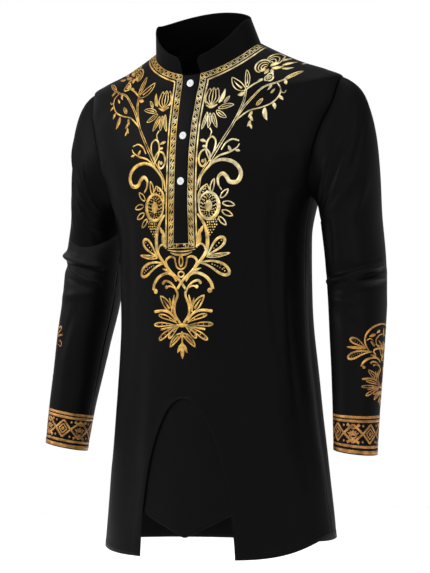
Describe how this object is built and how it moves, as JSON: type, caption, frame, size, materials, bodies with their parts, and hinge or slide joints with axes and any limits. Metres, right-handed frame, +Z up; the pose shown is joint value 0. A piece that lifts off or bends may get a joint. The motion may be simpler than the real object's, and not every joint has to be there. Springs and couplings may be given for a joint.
{
  "type": "dashiki shirt",
  "caption": "Long men's dashiki shirt, filled out as worn and hollow: stand collar, half placket with buttons, long sleeves, and a front hem with an arched cutaway over a pointed inset.",
  "frame": {"origin": "the wearer's neck and shoulders, which hold the shirt: on the middle line, at the height of the high points of the shoulder seams", "axes": "+Z up, +X to the wearer's left, -Y to the wearer's front"},
  "size_m": [0.63, 0.2367, 0.918],
  "materials": {
    "black_cloth": "soft matt woven cloth with a faint sheen",
    "pearl_white": "glossy pearl white"
  },
  "bodies": {
    "root": {"front": "black_cloth", "back": "black_cloth", "front_inset": "black_cloth", "placket_over": "black_cloth", "placket_under": "black_cloth", "collar": "black_cloth", "sleeve_left": "black_cloth", "sleeve_right": "black_cloth", "button_1": "pearl_white", "button_2": "pearl_white", "button_3": "pearl_white"}
  },
  "joints": []
}
